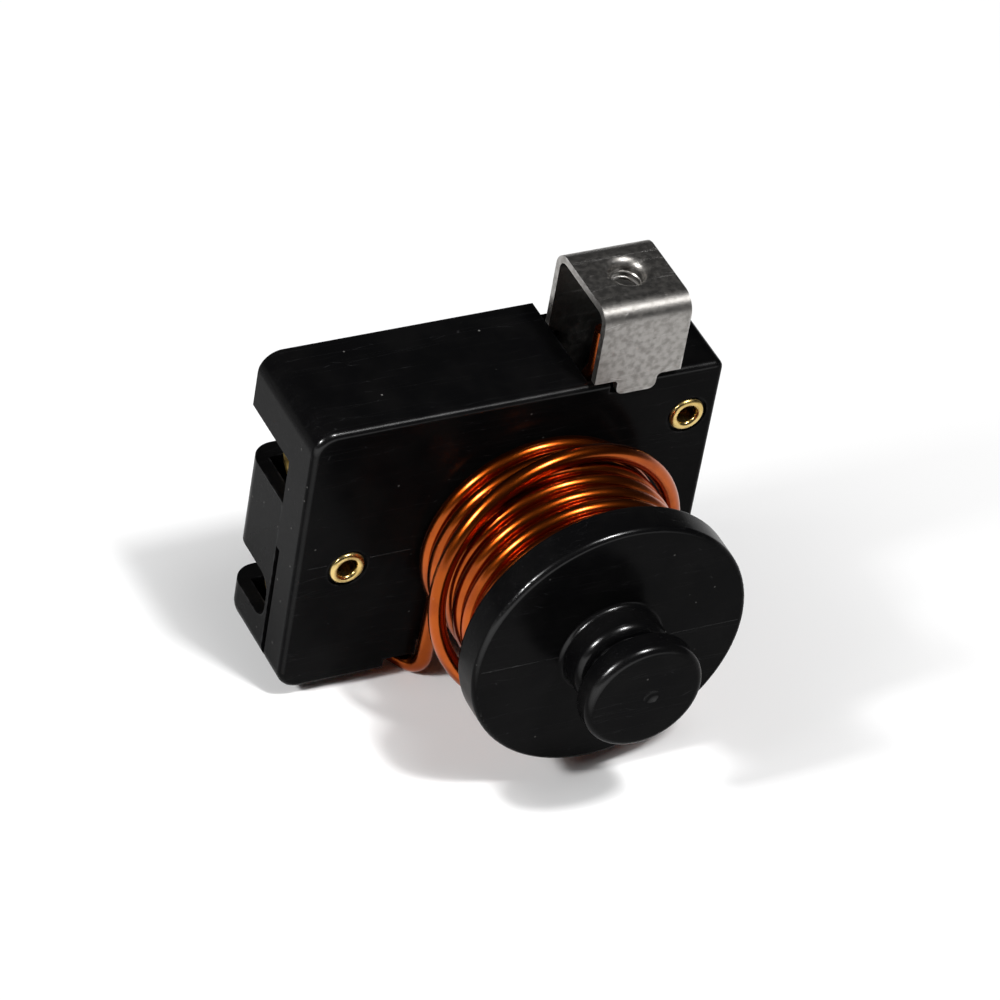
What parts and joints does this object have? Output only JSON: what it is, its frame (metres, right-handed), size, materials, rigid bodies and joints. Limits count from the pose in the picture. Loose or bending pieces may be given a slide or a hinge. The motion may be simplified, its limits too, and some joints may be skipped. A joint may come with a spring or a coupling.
{
  "type": "compressor current relay",
  "caption": "Black moulded plug-on starting relay with an open copper coil on a flanged bobbin, a plated screw terminal and a sliding plunger that closes its contacts.",
  "frame": {"origin": "on the plain middle lobe of the plug-in end, midway between the two pin sockets", "axes": "+X along the body away from the plug-in end, +Y from the coil to the back cover (up when the relay hangs in use), +Z towards the screw terminal"},
  "size_m": [0.045, 0.0407, 0.0435],
  "materials": {
    "black_moulding": "moulded phenolic, glossy, fine scratches",
    "black_cover": "moulded phenolic, satin",
    "copper_wire": "bare to the eye: copper under clear enamel, glossy orange-brown",
    "plated_sheet": "tin-plated sheet, satin with specks and handling scratches",
    "contact_brass": "rolled strip, satin",
    "silver_contact": "silver contact rivet, bright",
    "bridge_copper": "stamped copper, satin",
    "pale_insulator": "moulded, matte",
    "spring_steel": "bright spring steel",
    "plunger_iron": "turned soft iron, light oil",
    "rod_brass": "turned brass",
    "guide_steel": "stamped steel, zinc plated",
    "cushion": "felt-like rubber, matte",
    "receptacle_brass": "rolled strip, satin",
    "rivet_brass": "tubular rivet, bright rolled rim"
  },
  "bodies": {
    "housing": {"coil_housing": "black_moulding", "rear_cover": "black_cover", "coil_winding": "copper_wire", "line_bracket": "plated_sheet", "line_contact_strip": "contact_brass", "start_contact_strip": "contact_brass", "line_contact_button": "silver_contact", "start_contact_button": "silver_contact", "guide_plate": "guide_steel", "cushion_washer": "cushion", "start_receptacle": "receptacle_brass", "run_receptacle": "receptacle_brass", "receptacle_bands": "spring_steel", "rivets": "rivet_brass"},
    "plunger": {"plunger_core": "plunger_iron", "guide_rod": "rod_brass", "spring_collar": "rod_brass", "retaining_clip": "spring_steel", "contact_spring": "spring_steel"},
    "bridge": {"contact_bridge": "bridge_copper", "bridge_buttons": "silver_contact", "bridge_bush": "pale_insulator"}
  },
  "joints": [
    {"name": "plunger_lift", "type": "slide", "parent": "housing", "child": "plunger", "axis": [0, 1, 0], "range_m": [0, 0.003], "deforming": ["contact_spring"]},
    {"name": "bridge_lift", "type": "slide", "parent": "housing", "child": "bridge", "axis": [0, 1, 0], "range_m": [0, 0.0025]}
  ],
  "couplings": [
    {"joint": "bridge_lift", "follows": "plunger_lift", "ratio": 0.83333}
  ]
}
